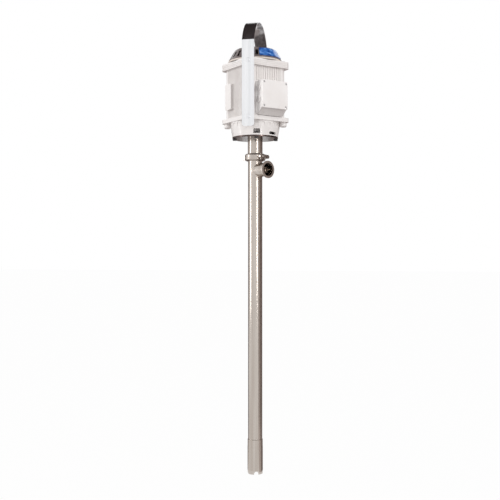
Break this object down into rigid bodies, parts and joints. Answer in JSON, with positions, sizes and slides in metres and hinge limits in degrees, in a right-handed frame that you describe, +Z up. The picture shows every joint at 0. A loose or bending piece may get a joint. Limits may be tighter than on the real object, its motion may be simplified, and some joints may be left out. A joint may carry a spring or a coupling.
{
  "type": "progressive cavity drum pump",
  "caption": "Vertical drum pump: finned motor with carrying strap over a long tube that holds a helical rotor and stator at its foot.",
  "frame": {"origin": "centre of the suction end, on the tube's axis, at the foot's lower rim", "axes": "+Z up along the tube towards the motor; +Y across the handle strap's two legs; the strap is centred on X"},
  "size_m": [0.2564, 0.269, 1.675],
  "materials": {
    "painted_white": "gloss",
    "cowl_brown": "gloss",
    "panel_blue": "gloss",
    "stainless": "polished",
    "black_steel": "satin",
    "zinc_steel": "satin",
    "nitrile": "matte",
    "white_seal": "matte",
    "lamination": "matte",
    "copper_wire": "varnished",
    "bearing_steel": "polished",
    "black_plastic": "matte",
    "carbon": "matte",
    "guide_plastic": "matte"
  },
  "bodies": {
    "housing": {"suction_foot": "stainless", "stator_shell": "stainless", "rubber_stator": "nitrile", "tube_socket": "stainless", "delivery_tube": "stainless", "outlet_branch": "stainless", "flange_nuts": "black_steel", "discharge_ferrule": "stainless", "tube_ferrule": "stainless", "lantern_ferrule": "stainless", "clamp_gasket": "white_seal", "clamp_half_near": "stainless", "clamp_half_far": "stainless", "clamp_bolt": "stainless", "clamp_hinge_pin": "stainless", "seal_seat": "carbon", "shaft_guides": "guide_plastic", "lantern_tube": "stainless", "lantern_flange": "stainless", "flange_bolts": "black_steel", "drive_end_shield": "painted_white", "motor_frame": "painted_white", "frame_corner_ears": "painted_white", "motor_stator_core": "lamination", "motor_windings": "copper_wire", "non_drive_end_shield": "painted_white", "bearing_outer_rings": "bearing_steel", "fan_cowl": "cowl_brown", "cowl_panel": "panel_blue", "terminal_box": "painted_white", "lid_gasket": "nitrile", "terminal_box_lid": "painted_white", "lid_screws": "zinc_steel", "terminal_block": "black_plastic", "blanking_plugs": "black_plastic", "handle_strap": "stainless", "handle_bolts": "zinc_steel", "strap_spacers": "zinc_steel"},
    "drive_train": {"drive_shaft": "stainless", "shaft_coupling": "stainless", "motor_shaft": "zinc_steel", "motor_rotor_core": "lamination", "bearing_inner_rings": "bearing_steel", "bearing_balls": "bearing_steel", "cooling_fan": "black_plastic", "seal_rotating_ring": "carbon"},
    "flex_link": {"flexible_shaft": "stainless"},
    "rotor_body": {"pump_rotor": "stainless"},
    "wing_nut_body": {"wing_nut": "stainless"}
  },
  "joints": [
    {"name": "shaft_spin", "type": "hinge", "parent": "housing", "child": "drive_train", "pos_m": [0, 0, 1.2], "axis": [0, 0, 1], "continuous": true},
    {"name": "rotor_orbit", "type": "hinge", "parent": "housing", "child": "flex_link", "pos_m": [0, 0, 0.3], "axis": [0, 0, 1], "continuous": true},
    {"name": "rotor_spin", "type": "hinge", "parent": "flex_link", "child": "rotor_body", "pos_m": [0.004, 0, 0.08], "axis": [0, 0, 1], "continuous": true},
    {"name": "wing_nut_turn", "type": "hinge", "parent": "housing", "child": "wing_nut_body", "pos_m": [0.04238, -0.02253, 1.1755], "axis": [-0.4695, -0.8829, 0], "continuous": true}
  ],
  "couplings": [
    {"joint": "rotor_orbit", "follows": "shaft_spin", "ratio": -1},
    {"joint": "rotor_spin", "follows": "shaft_spin", "ratio": 2}
  ]
}
